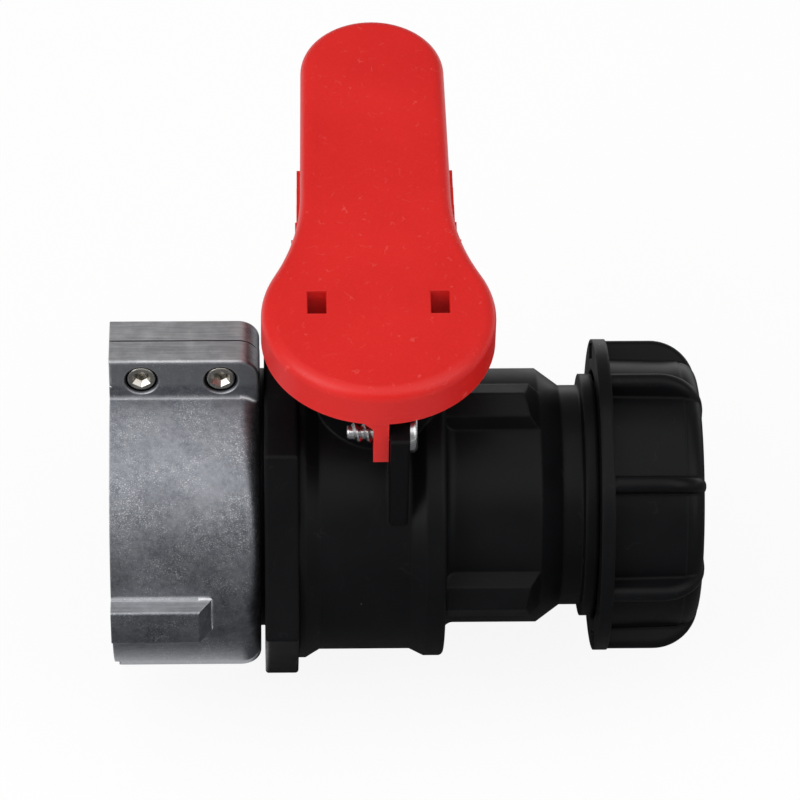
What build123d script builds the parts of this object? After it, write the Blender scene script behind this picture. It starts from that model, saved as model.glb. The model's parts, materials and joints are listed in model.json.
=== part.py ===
from build123d import *
import os
from math import hypot, sqrt

# Tank valve: a ball valve with a swivelling clamp nut, a lever and a ribbed cap.
# Millimetres. The pipe axis is X, from the tank (nut mouth at X = 0) to the cap.
# The stem axis is parallel to Z, and the front of the valve faces -Y.

# Fits
thread_fit = 0.15  # radial room between screwed plastic threads
press_fit = 0.1  # room round a ring in its pocket
running_fit = 0.05  # stem in its bonnet
moving_gap = 0.4  # between faces that turn past each other
seat_fit = 0.1  # between ball and seat

# Coupling nut: two halves, screwed together, with a female tank thread
tank_thread_r = 34.5
nut_wall = 4.9
nut_length = 35.0
nut_edge = 4.5
nut_turn = -5.5
lip_thickness = 5.0
lip_height = 3.2
thread_relief = 0.4
thread_runout = 0.5
lug_height = 10.3
lug_half = 7.5
lug_corner = 5.0
lug_edge = 0.8
lug_fillet = 1.3
lug_fillet_sink = 0.12
slit = 0.5
wrench_lug_height = 4.4
wrench_lug_width = 10.2
wrench_lug_length = 23.5
wrench_lug_slant = 3.0
wrench_lug_edge = 0.6
wrench_lug_turn = 1.8

# Clamp screws across the lugs' slits
clamp_screw_r = 2.0
clamp_head_r = 3.2
clamp_head_height = 3.5
clamp_head_sink = 0.5
clamp_socket = 3.2
clamp_socket_depth = 2.2
clamp_hole_room = 0.25
clamp_head_room = 0.5
clamp_rim = 0.5
clamp_inset_mouth = 7.5
clamp_inset_back = 9.0
clamp_drop = 5.8

# Inlet gland, with the flange that the nut's lip pulls on, and its gasket
nut_play = 0.3
nut_gap = 1.0
gland_flange = 3.7
gasket_thickness = 3.0
gasket_width = 8.0
gland_floor = 1.9
hex_rise = 0.55
hex_thickness = 8.0
hex_edge = 0.8

# Ball, seats and passage
ball_r = 31.4
ball_gap = 1.0
bore_step = 1.5
seat_rise = 9.2
seat_width = 5.0
seat_floor = 1.0
seat_land = 1.7
cushion_thickness = 1.5
chamber_half = 11.6
relief_room = 2.4

# Body barrel between the two screwed ends
body_outlet = 15.9
barrel_wall = 4.3
thread_step = 2.0
inlet_rim_wall = 4.15
outlet_rim_wall = 3.85
inlet_rim = 1.6
inlet_cone = 3.3
outlet_rim = 4.7
outlet_cone = 3.4
rim_edge = 1.2
o_ring_section_r = 1.15
o_ring_inset = 2.2

# Bonnet on the barrel, with the lip that the lever's hooks hold
bonnet_rise = 18.3
swing_gap = 1.1
boss_inset = 0.7
bonnet_neck_r = 12.8
bonnet_lip_r = 16.0
bonnet_lip = 3.0
bonnet_neck = 4.4
head_drop = 2.0

# Fin that stops the lever and takes the safety screw
fin_start = 2.3
fin_thickness = 4.5
fin_reach = 29.3
fin_drop = 4.0
fin_edge = 0.8

# Stem
stem_r = 9.0
collar_inset = 0.6
stem_collar = 3.0
collar_gap = 0.4
washer_thickness = 1.0
tang_width = 7.7
tang_length = 18.0
tang_depth = 4.7
tang_room = 0.15
square_side = 11.0
square_room = 0.1
stem_ring_section_r = 0.85
stem_ring_pitch = 4.0

# Lever: a round head and a straight arm, open underneath
head_r = 27.2
arm_end_half = 17.4
arm_root_half = 18.3
arm_reach = 98.9
arm_flare = 60.0
lever_height = 10.0
lever_edge = 3.0
lever_wall = 2.4
lever_plate = 3.0
lever_rib = 1.6
lever_rib_pitch = 15.0
lever_rib_drop = 1.0
hub_wall = 4.5
hook_offset = 2.0
hook_width = 3.0
hook_leg = 1.6
hook_bite = 2.2
hook_barb = 3.2
window_length = 4.3
window_width = 7.2
window_edge = 0.4
serration_count = 5
serration_pitch = 5.8
serration_start = 20.9
serration_proud = 0.8
serration_height = 5.5

# Locking tab under the lever's head
tab_left = 1.5
tab_right = 2.0
tab_inner = 18.0
tab_skin = 0.4
tab_gap = 2.6
tab_gusset = 2.4

# Safety screw through tab and fin
screw_r = 2.3
screw_room = 0.3
screw_front = 22.0
screw_rise = 1.2
screw_tip = 7.6
screw_point = 0.8
screw_head_r = 4.8
screw_head = 1.8
screw_seat = 0.1
screw_slot_room = 3.4

# Outlet end: gripped length with four ridges, taper, neck, collar, thread
outlet_wall = 3.2
outlet_root = 2.5
ridge_height = 5.6
ridge_half = 5.2
ridge_slope = 2.4
ridge_flare = 1.7
ridge_foot = 9.3
grip_length = 22.4
ridge_chamfer = 3.8
taper_length = 5.6
neck_wall = 4.2
neck_length = 5.0
collar_wall = 6.9
collar_length = 2.9
collar_slope = 0.5
outlet_thread_wall = 7.8
outlet_thread_depth = 2.6
outlet_thread_length = 19.4

# Outlet cap
cap_gap = 0.3
cap_thread_room = 0.2
cap_wall = 2.3
cap_draft = 0.5
cap_end_wall = 3.5
cap_corner = 4.0
cap_step = 0.3
cap_step_inset = 4.3
cap_flange = 3.1
cap_flange_reach = 4.9
cap_rib_count = 8
cap_rib_turn = 38.0
cap_rib_width = 4.0
cap_rib_reach = 4.6
cap_rib_corner = 11.0
cap_rib_proud = 0.5
cap_rib_edge = 1.8
cap_rib_run = 9.5
tether_slot_turn = -48.0
tether_slot_width = 9.5
tether_slot_height = 3.8
tether_slot_gap = 0.2
seal_thickness = 2.0
seal_gap = 0.2

# Radii and places worked out from the sizes above
nut_outer_r = tank_thread_r + nut_wall
nut_lip_r = tank_thread_r - lip_height
lug_top = nut_outer_r + lug_height
lug_root = tank_thread_r + thread_relief + nut_wall / 2
lug_swing_r = hypot(lug_top, lug_half)
clamp_z = lug_top - clamp_drop
clamp_top = clamp_head_sink - lug_half
clamp_floor = clamp_top + clamp_head_height
clamp_columns = (clamp_inset_mouth, nut_length - clamp_inset_back)
clamp_places = [(x, z) for x in clamp_columns for z in (-clamp_z, clamp_z)]

lip_x = nut_length - lip_thickness
gland_x = lip_x - nut_play - gland_flange
gasket_x = gland_x - gasket_thickness
tank_thread_end = gasket_x - thread_runout
gland_flange_r = tank_thread_r - moving_gap
gasket_r = gland_flange_r - gasket_width
gland_neck_r = nut_lip_r - moving_gap

passage_r = ball_r - seat_rise
ball_bore_r = passage_r - bore_step
chamber_r = ball_r + ball_gap
shank_r = chamber_r + thread_step
body_thread_r = shank_r + thread_fit
barrel_r = chamber_r + barrel_wall
inlet_rim_r = body_thread_r + inlet_rim_wall
outlet_rim_r = body_thread_r + outlet_rim_wall
o_ring_r = shank_r - o_ring_section_r
o_ring_groove_r = o_ring_r - o_ring_section_r - press_fit

seat_outer_r = passage_r + seat_width
pocket_r = seat_outer_r + press_fit
seat_front = sqrt(ball_r**2 - seat_outer_r**2) + seat_land
seat_back = sqrt(ball_r**2 - passage_r**2) + seat_floor
pocket_floor = seat_back + cushion_thickness
relief_r = chamber_r - relief_room

hex_x = nut_length + nut_gap
hex_across_flats = 2 * (inlet_rim_r + hex_rise)
body_x = hex_x + hex_thickness
stem_x = hex_x + gland_floor + pocket_floor
body_end = stem_x + body_outlet
inlet_ring_x = stem_x - chamber_half - o_ring_inset
outlet_ring_x = stem_x + chamber_half + o_ring_inset

deck_z = max(barrel_r + bonnet_rise, lug_swing_r + swing_gap)
bonnet_top = deck_z - head_drop
lip_z = bonnet_top - bonnet_lip
boss_top = lip_z - bonnet_neck
boss_r = min(stem_x - body_x, body_outlet) - boss_inset
lever_top = deck_z + lever_height
plate_z = lever_top - lever_plate

washer_z = barrel_r + washer_thickness
collar_top = barrel_r - running_fit
collar_z = collar_top - stem_collar
stem_collar_r = chamber_half - collar_inset
stem_ring_places = (boss_top - stem_ring_pitch, boss_top)
stem_ring_r = stem_r - stem_ring_section_r
stem_groove_r = stem_ring_r - stem_ring_section_r - press_fit
hub_r = square_side / sqrt(2) + hub_wall
hook_r = bonnet_lip_r + moving_gap
hook_z = lip_z - moving_gap - hook_barb

fin_top = deck_z - fin_drop
fin_inner = hypot(hook_r + hook_leg, hook_offset + hook_width / 2) + moving_gap
fin_left = stem_x + fin_start
fin_right = fin_left + fin_thickness
screw_z = boss_top + screw_rise
tab_outer = min(head_r, stem_x - nut_length) - tab_skin
tab_bottom = hex_across_flats / 2 + tab_gap

outlet_r = pocket_r + outlet_wall
ridge_r = outlet_r + ridge_height
grip_end = body_end + grip_length
taper_end = grip_end + taper_length
neck_r = passage_r + neck_wall
collar_r = passage_r + collar_wall
outlet_thread_r = passage_r + outlet_thread_wall
collar_x = taper_end + neck_length
collar_end = collar_x + collar_length
thread_end = collar_end + outlet_thread_length

cap_x = collar_end + cap_gap
cap_bore_r = outlet_thread_r + cap_thread_room
cap_r = cap_bore_r + cap_wall
seal_x = thread_end + seal_gap
cap_floor = seal_x + seal_thickness
cap_end = cap_floor + cap_end_wall
cap_rib_end = cap_end + cap_rib_proud
cap_rib_r = cap_r + cap_rib_reach
cap_rib_inner_r = cap_r - cap_rib_run
cap_flange_r = cap_r + cap_flange_reach

BOTTOM = (Align.CENTER, Align.CENTER, Align.MIN)
SAME = 1e-3  # edges and corners this close to a place are at it
OVERCUT = 1.0  # a cut runs this far past the face that it opens
SLIVER = 0.01  # width of a strip that measures an outline


def turned(*corners):
    """Ring turned about the pipe axis from its (x, radius) corners."""
    outline = Polyline(*[(x, 0, r) for x, r in corners], close=True)
    return revolve(make_face(outline), Axis.X)


def rod(start, end, radius):
    """Cylinder along the pipe axis."""
    return Pos(start, 0, 0) * Rot(0, 90, 0) * Cylinder(radius, end - start, align=BOTTOM)


def post(low, high, radius):
    """Cylinder along the stem axis."""
    return Pos(stem_x, 0, low) * Cylinder(radius, high - low, align=BOTTOM)


def block(x0, x1, y0, y1, z0, z1):
    """Box between two corners."""
    middle = Pos((x0 + x1) / 2, (y0 + y1) / 2, (z0 + z1) / 2)
    return middle * Box(x1 - x0, y1 - y0, z1 - z0)


def slab(corners, half):
    """Plate of (x, z) corners, as thick as half to each side of the pipe's plane."""
    outline = Polyline(*[(x, 0, z) for x, z in corners], close=True)
    return extrude(make_face(outline), amount=half, dir=(0, 1, 0), both=True)


def round_edges(part, x, radius):
    """Circular edges about the pipe axis at one place and radius."""
    circles = part.edges().filter_by(GeomType.CIRCLE)
    return [e for e in circles if abs(e.radius - radius) < SAME and abs(e.center().X - x) < SAME]


def hexagon(start, end, across_flats):
    """Hexagonal bar along the pipe axis with a flat on top."""
    section = RegularPolygon(across_flats / 2, 6, major_radius=False, rotation=30)
    return Pos(start, 0, 0) * Rot(0, 90, 0) * extrude(section, end - start)


def nut_lugs():
    """Clamp lugs above and below, and wrench lugs in front and behind."""
    corners = [(0, lug_root), (0, lug_top), (nut_length, lug_top), (nut_length, lug_root)]
    clamp_lug = slab(corners, lug_half)
    top_edges = clamp_lug.faces().sort_by(Axis.Z)[-1].edges()
    clamp_lug = fillet(top_edges.sort_by(Axis.X)[-1], lug_corner)
    sides = [e for e in clamp_lug.edges() if abs(abs(e.center().Y) - lug_half) < SAME]
    clamp_lug = fillet([e for e in sides if e.center().Z > lug_root], lug_edge)
    wrench_top = nut_outer_r + wrench_lug_height
    corners = [
        (0, lug_root),
        (0, wrench_top),
        (wrench_lug_length - wrench_lug_slant, wrench_top),
        (wrench_lug_length, nut_outer_r),
        (wrench_lug_length, lug_root),
    ]
    wrench_lug = slab(corners, wrench_lug_width / 2)
    crown = wrench_lug.faces().sort_by(Axis.Z)[-1].edges().sort_by(Axis.X)
    wrench_lug = fillet(crown[1:], wrench_lug_edge)
    clamp_lug += root_fillets(lug_half, nut_length - nut_edge)
    wrench_lug += root_fillets(wrench_lug_width / 2, wrench_lug_length - wrench_lug_slant)
    lugs = clamp_lug + Rot(180, 0, 0) * clamp_lug
    for turn in (-90, 90):
        lugs += Rot(wrench_lug_turn + turn, 0, 0) * wrench_lug
    return lugs


def root_fillets(half, length):
    """Strips that round the corners between a lug's two sides and the ring."""
    reach = half + 2 * lug_fillet
    height = nut_outer_r + 2 * lug_fillet
    core = Circle(nut_outer_r - lug_fillet_sink)
    section = Plane.YZ * (core + Pos(0, height / 2) * Rectangle(2 * half, height))
    corners = [v for v in section.vertices() if abs(abs(v.Y) - half) < SAME and v.Z < nut_outer_r]
    bar = extrude(fillet(corners, lug_fillet), length)
    return bar & block(0, length, -reach, reach, lug_root, height)


def across(place, radius, start, end):
    """Cylinder along Y at a clamp screw's (x, z) place."""
    x, z = place
    return Pos(x, start, z) * Rot(-90, 0, 0) * Cylinder(radius, end - start, align=BOTTOM)


def whole_nut():
    """Ring with its lugs and screw holes, before it is split."""
    undercut_r = tank_thread_r + thread_relief
    ring = turned(
        (0, tank_thread_r),
        (0, nut_outer_r),
        (nut_length, nut_outer_r),
        (nut_length, nut_lip_r),
        (lip_x, nut_lip_r),
        (lip_x, undercut_r),
        (tank_thread_end, undercut_r),
        (tank_thread_end, tank_thread_r),
    )
    nut = fillet(round_edges(ring, nut_length, nut_outer_r), nut_edge) + nut_lugs()
    counterbore_r = clamp_head_r + clamp_head_room
    for place in clamp_places:
        rim = Pos(place[0], -lug_half, place[1]) * Rot(-90, 0, 0)
        nut -= rim * Cone(counterbore_r + clamp_rim, counterbore_r, clamp_rim, align=BOTTOM)
        nut -= across(place, counterbore_r, -2 * lug_half, clamp_floor)
        nut -= across(place, clamp_screw_r + clamp_hole_room, clamp_floor, 0)
        nut -= across(place, clamp_screw_r + press_fit, 0, 2 * lug_half)
    return nut


def nut_half(nut, side):
    """The part of the nut on one side of the slit, given by its sign."""
    y0, y1 = sorted((side * slit / 2, side * lug_top))
    return Rot(nut_turn, 0, 0) * (nut & block(0, nut_length, y0, y1, -lug_top, lug_top))


def clamp_screws():
    screws = []
    for place in clamp_places:
        head = across(place, clamp_head_r, clamp_top, clamp_floor)
        socket = Pos(place[0], clamp_top, place[1]) * Rot(-90, 0, 0)
        socket *= extrude(RegularPolygon(clamp_socket / 2, 6, major_radius=False), clamp_socket_depth)
        screw = head + across(place, clamp_screw_r, clamp_floor, lug_half) - socket
        screws.append(Rot(nut_turn, 0, 0) * screw)
    return Compound(children=screws)


def inlet_gasket():
    return rod(gasket_x, gland_x, gland_flange_r) - rod(gasket_x, gland_x, gasket_r)


def seat_pocket(side):
    """Room for passage, cushion, seat and ball, on the side of the stem given by its sign."""
    return turned(
        (stem_x + side * (pocket_floor + ball_r), 0),
        (stem_x + side * (pocket_floor + ball_r), passage_r),
        (stem_x + side * pocket_floor, passage_r),
        (stem_x + side * pocket_floor, pocket_r),
        (stem_x + side * seat_front, pocket_r),
        (stem_x + side * chamber_half, relief_r),
        (stem_x + side * chamber_half, 0),
    )


def o_ring_groove(middle):
    reach = o_ring_section_r + press_fit
    outer = rod(middle - reach, middle + reach, shank_r + OVERCUT)
    return outer - rod(middle - reach, middle + reach, o_ring_groove_r)


def o_ring(middle):
    return Pos(middle, 0, 0) * Rot(0, 90, 0) * Torus(o_ring_r, o_ring_section_r)


def inlet_gland():
    wrench_hex = hexagon(hex_x, body_x, hex_across_flats)
    gland = fillet(wrench_hex.edges(), hex_edge)
    gland += turned(
        (gland_x, 0),
        (gland_x, gland_flange_r),
        (gland_x + gland_flange, gland_flange_r),
        (gland_x + gland_flange, gland_neck_r),
        (hex_x + hex_thickness / 2, gland_neck_r),
        (hex_x + hex_thickness / 2, shank_r),
        (stem_x - chamber_half, shank_r),
        (stem_x - chamber_half, 0),
    )
    gland -= seat_pocket(-1) + rod(gland_x, hex_x, passage_r)
    return gland - o_ring_groove(inlet_ring_x)


def seat(side):
    """Ring with a spherical face towards the ball."""
    faces = sorted((stem_x + side * seat_back, stem_x + side * seat_front))
    ring = rod(*faces, seat_outer_r) - rod(*faces, passage_r)
    return ring - Pos(stem_x, 0, 0) * Rot(0, 0, 90) * Sphere(ball_r + seat_fit)


def seat_cushion(side):
    faces = sorted((stem_x + side * pocket_floor, stem_x + side * seat_back))
    return rod(*faces, seat_outer_r) - rod(*faces, passage_r + seat_floor)


def ball():
    sphere = Pos(stem_x, 0, 0) * Sphere(ball_r)
    bore = Pos(stem_x, 0, 0) * Rot(90, 0, 0) * Cylinder(ball_bore_r, 2 * ball_r)
    slot_half = tang_width / 2 + tang_room
    slot_z = ball_r - tang_depth - tang_room
    slot = block(stem_x - ball_r, stem_x + ball_r, -slot_half, slot_half, slot_z, ball_r + OVERCUT)
    return sphere - bore - slot


def stem():
    shaft = post(collar_top, bonnet_top, stem_r) + post(collar_z, collar_top, stem_collar_r)
    square = block(
        stem_x - square_side / 2,
        stem_x + square_side / 2,
        -square_side / 2,
        square_side / 2,
        bonnet_top,
        plate_z - moving_gap,
    )
    tang = block(
        stem_x - tang_length / 2,
        stem_x + tang_length / 2,
        -tang_width / 2,
        tang_width / 2,
        ball_r - tang_depth,
        collar_z,
    )
    shaft += square + tang
    for z in stem_ring_places:
        reach = stem_ring_section_r + press_fit
        outer = post(z - reach, z + reach, stem_r + OVERCUT)
        shaft -= outer - post(z - reach, z + reach, stem_groove_r)
    return shaft


def stem_o_rings():
    rings = [Pos(stem_x, 0, z) * Torus(stem_ring_r, stem_ring_section_r) for z in stem_ring_places]
    return Compound(children=rings)


def stem_washer():
    hole = post(barrel_r, washer_z, stem_r + running_fit)
    return post(barrel_r, washer_z, stem_collar_r) - hole


def fin():
    """Upright plate in front of the bonnet, stepped back round the lever's hooks."""
    foot = block(fin_left, fin_right, -fin_reach, 0, 0, boss_top)
    head = block(fin_left, fin_right, -fin_reach, -fin_inner, boss_top, fin_top)
    plate = foot + head
    front = [e for e in plate.edges() if abs(e.center().Y + fin_reach) < SAME]
    return fillet(front, fin_edge)


def valve_body():
    barrel = turned(
        (body_x, 0),
        (body_x, inlet_rim_r),
        (body_x + inlet_rim, inlet_rim_r),
        (body_x + inlet_rim + inlet_cone, barrel_r),
        (body_end - outlet_rim - outlet_cone, barrel_r),
        (body_end - outlet_rim, outlet_rim_r),
        (body_end, outlet_rim_r),
        (body_end, 0),
    )
    barrel = fillet(round_edges(barrel, body_end, outlet_rim_r), rim_edge)
    bonnet = post(0, boss_top, boss_r) + post(boss_top, lip_z, bonnet_neck_r)
    bonnet += post(lip_z, bonnet_top, bonnet_lip_r)
    body = barrel + bonnet + fin()
    body -= rod(body_x, body_end, chamber_r)
    body -= rod(body_x, stem_x - chamber_half + thread_fit, body_thread_r)
    body -= rod(stem_x + chamber_half - thread_fit, body_end, body_thread_r)
    body -= post(0, washer_z, stem_collar_r + collar_gap)
    body -= post(0, bonnet_top, stem_r + running_fit)
    return body - screw_bore(fin_left - OVERCUT, fin_right + OVERCUT, screw_r + screw_room)


def screw_bore(start, end, radius):
    return Pos(0, -screw_front, screw_z) * rod(start, end, radius)


def safety_screw():
    tip = stem_x - screw_tip
    seat_x = fin_right + screw_seat
    corners = [
        (tip, 0),
        (tip, screw_r - screw_point),
        (tip + screw_point, screw_r),
        (seat_x, screw_r),
        (seat_x, screw_head_r),
        (seat_x + screw_head / 2, screw_head_r),
        (seat_x + screw_head, screw_head_r / 2),
        (seat_x + screw_head, 0),
    ]
    return Pos(0, -screw_front, screw_z) * turned(*corners)


def lever_outline():
    """Round head and arm seen from above, with the arm flared into the head."""
    end_y = arm_reach - arm_end_half
    arm = make_face(
        Polyline(
            (-arm_root_half, 0), (-arm_end_half, end_y), (arm_end_half, end_y), (arm_root_half, 0), close=True
        )
    )
    outline = Circle(head_r) + arm + Pos(0, end_y) * Circle(arm_end_half)
    corners = [v for v in outline.vertices() if 0 < v.Y < arm_reach / 2]
    return fillet(corners, arm_flare)


def lever_ribs(cavity):
    """Grid of stiffening ribs in the arm, and one across the head behind its windows."""
    low = deck_z + lever_rib_drop
    half = lever_rib / 2
    ribs = block(-half, half, head_r - lever_wall, arm_reach, low, plate_z)
    y = head_r
    while y < arm_reach - lever_wall - lever_rib:
        ribs += block(-head_r, head_r, y - half, y + half, low, plate_z)
        y += lever_rib_pitch
    y = hook_offset + window_width / 2
    ribs += block(-head_r, head_r, y, y + lever_rib, low, plate_z)
    return ribs & cavity


def hook(side):
    """Leg and barb that hold the bonnet's lip on one side of the stem."""
    y0 = hook_offset - hook_width / 2
    y1 = hook_offset + hook_width / 2
    corners = [
        (side * (hook_r - hook_bite), hook_z + hook_barb),
        (side * (hook_r - hook_bite), hook_z + hook_barb / 2),
        (side * hook_r, hook_z),
        (side * (hook_r + hook_leg), hook_z),
        (side * (hook_r + hook_leg), plate_z),
        (side * hook_r, plate_z),
        (side * hook_r, hook_z + hook_barb),
    ]
    outline = Polyline(*[(x, y0, z) for x, z in corners], close=True)
    return extrude(make_face(outline), amount=y1 - y0, dir=(0, 1, 0))


def locking_tab():
    """Tab in front of the fin, with a slot that the safety screw passes."""
    tab = block(-tab_left, tab_right, -tab_outer, -tab_inner, tab_bottom, plate_z)
    gusset = slab(
        [(-tab_left, deck_z), (-tab_left - tab_gusset, deck_z), (-tab_left, deck_z - tab_gusset)],
        lever_wall / 2,
    )
    tab += Pos(0, -tab_outer + lever_wall / 2, 0) * gusset
    slot_r = screw_r + screw_room
    back = screw_front
    front = screw_front + screw_slot_room - slot_r
    x0 = -tab_left - OVERCUT
    x1 = tab_right + OVERCUT
    slot = block(x0, x1, -front, -back, screw_z - slot_r, screw_z + slot_r)
    for place in (back, front):
        slot += Pos(0, -place, screw_z) * rod(x0, x1, slot_r)
    return tab - slot


def serrations(outline):
    """Saw-tooth grip steps low on both sides of the arm's root."""
    steps = []
    for index in range(serration_count):
        y = serration_start + index * serration_pitch
        section = outline & Pos(0, y + serration_pitch) * Rectangle(4 * head_r, SLIVER)
        half = section.bounding_box().max.X + serration_proud
        tooth = block(-half, half, y, y + serration_pitch, deck_z, deck_z + serration_height)
        steps.append(tooth)
    return steps


def handle():
    outline = lever_outline()
    blank = Pos(0, 0, deck_z) * extrude(outline, lever_height)
    blank = fillet(blank.faces().sort_by(Axis.Z)[-1].edges(), lever_edge)
    for tooth in serrations(outline):
        blank += tooth
    cavity = Pos(0, 0, deck_z) * extrude(offset(outline, amount=-lever_wall), lever_height - lever_plate)
    lever = blank - cavity + lever_ribs(cavity)
    hub_z = bonnet_top + moving_gap
    lever += Pos(0, 0, hub_z) * Cylinder(hub_r, plate_z - hub_z, align=BOTTOM)
    half = square_side / 2 + square_room
    lever -= block(-half, half, -half, half, 0, plate_z - moving_gap)
    for side in (-1, 1):
        lever += hook(side)
        x0, x1 = sorted((side * (hook_r - window_length), side * hook_r))
        y0 = hook_offset - window_width / 2
        lever -= block(x0, x1, y0, y0 + window_width, plate_z - OVERCUT, lever_top + OVERCUT)
    rims = [e for e in lever.edges() if abs(e.center().Z - lever_top) < SAME and abs(e.center().X) <= hook_r]
    rims = [e for e in rims if abs(e.center().Y - hook_offset) <= window_width / 2]
    lever = fillet(rims, window_edge) + locking_tab()
    return Pos(stem_x, 0, 0) * lever


def grip_ridge():
    """Wrench ridge on top of the outlet, with a roof and two steep sides."""
    shoulder = ridge_r - ridge_slope
    corners = [
        (0, ridge_r),
        (ridge_half, shoulder),
        (ridge_half + ridge_flare, ridge_r - ridge_foot),
        (-ridge_half - ridge_flare, ridge_r - ridge_foot),
        (-ridge_half, shoulder),
    ]
    outline = Polyline(*[(body_end, y, z) for y, z in corners], close=True)
    return extrude(make_face(outline), amount=grip_length, dir=(1, 0, 0))


def outlet_end():
    spout = turned(
        (stem_x + chamber_half, 0),
        (stem_x + chamber_half, shank_r),
        (body_end, shank_r),
        (body_end, outlet_r),
        (grip_end, outlet_r),
        (taper_end, neck_r),
        (collar_x - collar_slope, neck_r),
        (collar_x, collar_r),
        (collar_end, collar_r),
        (collar_end, outlet_thread_r - outlet_thread_depth),
        (thread_end, outlet_thread_r - outlet_thread_depth),
        (thread_end, 0),
    )
    spout = fillet(round_edges(spout, body_end, outlet_r), outlet_root)
    envelope = turned(
        (body_end, 0),
        (body_end, ridge_r),
        (grip_end - ridge_chamfer, ridge_r),
        (grip_end, outlet_r),
        (grip_end, 0),
    )
    for turn in (0, 90, 180, 270):
        spout += Rot(turn, 0, 0) * grip_ridge() & envelope
    spout -= seat_pocket(1) + rod(stem_x + pocket_floor, thread_end, passage_r)
    return spout - o_ring_groove(outlet_ring_x)


def cap_rib():
    """Rib along the cap's side that bends over its end."""
    bend = cap_rib_r - cap_rib_corner
    corners = [
        (cap_x, cap_bore_r + cap_wall / 2),
        (cap_x, cap_rib_r),
        (cap_rib_end, cap_rib_r),
        (cap_rib_end, cap_rib_inner_r),
        (cap_floor + cap_end_wall / 2, cap_rib_inner_r),
        (cap_floor + cap_end_wall / 2, bend),
    ]
    rib = slab(corners, cap_rib_width / 2)
    bends = [e for e in rib.edges().filter_by(Axis.Y) if e.center().X > cap_end and e.center().Z > bend]
    rib = fillet(bends, cap_rib_corner)
    crest = [e for e in rib.edges() if e.center().X > cap_end or e.center().Z > cap_r]
    sides = [e for e in crest if abs(abs(e.center().Y) - cap_rib_width / 2) < SAME]
    return fillet([e for e in sides if e.center().X > cap_x], cap_rib_edge)


def outlet_cap():
    step_x = cap_end - cap_step_inset
    end_r = cap_r - cap_draft - cap_step
    shell = turned(
        (cap_x, 0),
        (cap_x, cap_flange_r),
        (cap_x + cap_flange, cap_flange_r),
        (cap_x + cap_flange, cap_r),
        (step_x, cap_r - cap_draft),
        (step_x, end_r),
        (cap_end, end_r),
        (cap_end, 0),
    )
    shell = fillet(round_edges(shell, cap_end, end_r), cap_corner)
    rib = cap_rib()
    for index in range(cap_rib_count):
        shell += Rot(cap_rib_turn + index * 360 / cap_rib_count, 0, 0) * rib
    slot_low = cap_r + tether_slot_gap
    half = tether_slot_width / 2
    slot_x = cap_x - OVERCUT
    slot = block(slot_x, cap_x + cap_flange, -half, half, slot_low, slot_low + tether_slot_height)
    for turn in (0, 180):
        shell -= Rot(tether_slot_turn + turn, 0, 0) * slot
    return shell - rod(cap_x, cap_floor, cap_bore_r)


def cap_seal():
    return rod(seal_x, cap_floor, cap_bore_r - moving_gap) - rod(seal_x, cap_floor, passage_r)


nut = whole_nut()
pieces = {
    "nut_front_half": nut_half(nut, -1),
    "nut_rear_half": nut_half(nut, 1),
    "clamp_screws": clamp_screws(),
    "inlet_gasket": inlet_gasket(),
    "inlet_gland": inlet_gland(),
    "inlet_o_ring": o_ring(inlet_ring_x),
    "valve_body": valve_body(),
    "inlet_seat": seat(-1),
    "inlet_seat_cushion": seat_cushion(-1),
    "outlet_seat": seat(1),
    "outlet_seat_cushion": seat_cushion(1),
    "ball": ball(),
    "stem": stem(),
    "stem_o_rings": stem_o_rings(),
    "stem_washer": stem_washer(),
    "handle": handle(),
    "safety_screw": safety_screw(),
    "outlet_end": outlet_end(),
    "outlet_o_ring": o_ring(outlet_ring_x),
    "outlet_cap": outlet_cap(),
    "cap_seal": cap_seal(),
}

os.makedirs("parts", exist_ok=True)
for name, piece in pieces.items():
    export_step(piece, f"parts/{name}.step")
print(f"{len(pieces)} nodes, length {cap_rib_end:.1f} mm, lever top at {lever_top:.1f} mm")
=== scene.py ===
# %% [markdown]
# # A tank valve, dressed for its portrait
#
# The valve's real shapes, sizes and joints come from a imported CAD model.
# This lesson loads that model as a fixed frame, adds the pieces that are too
# fine for it (threads and screws), and gives every surface a finish.
# Nothing that was loaded is moved. New pieces are made in the same frame, in
# metres, and each one is told which body of the valve it moves with.

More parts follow.
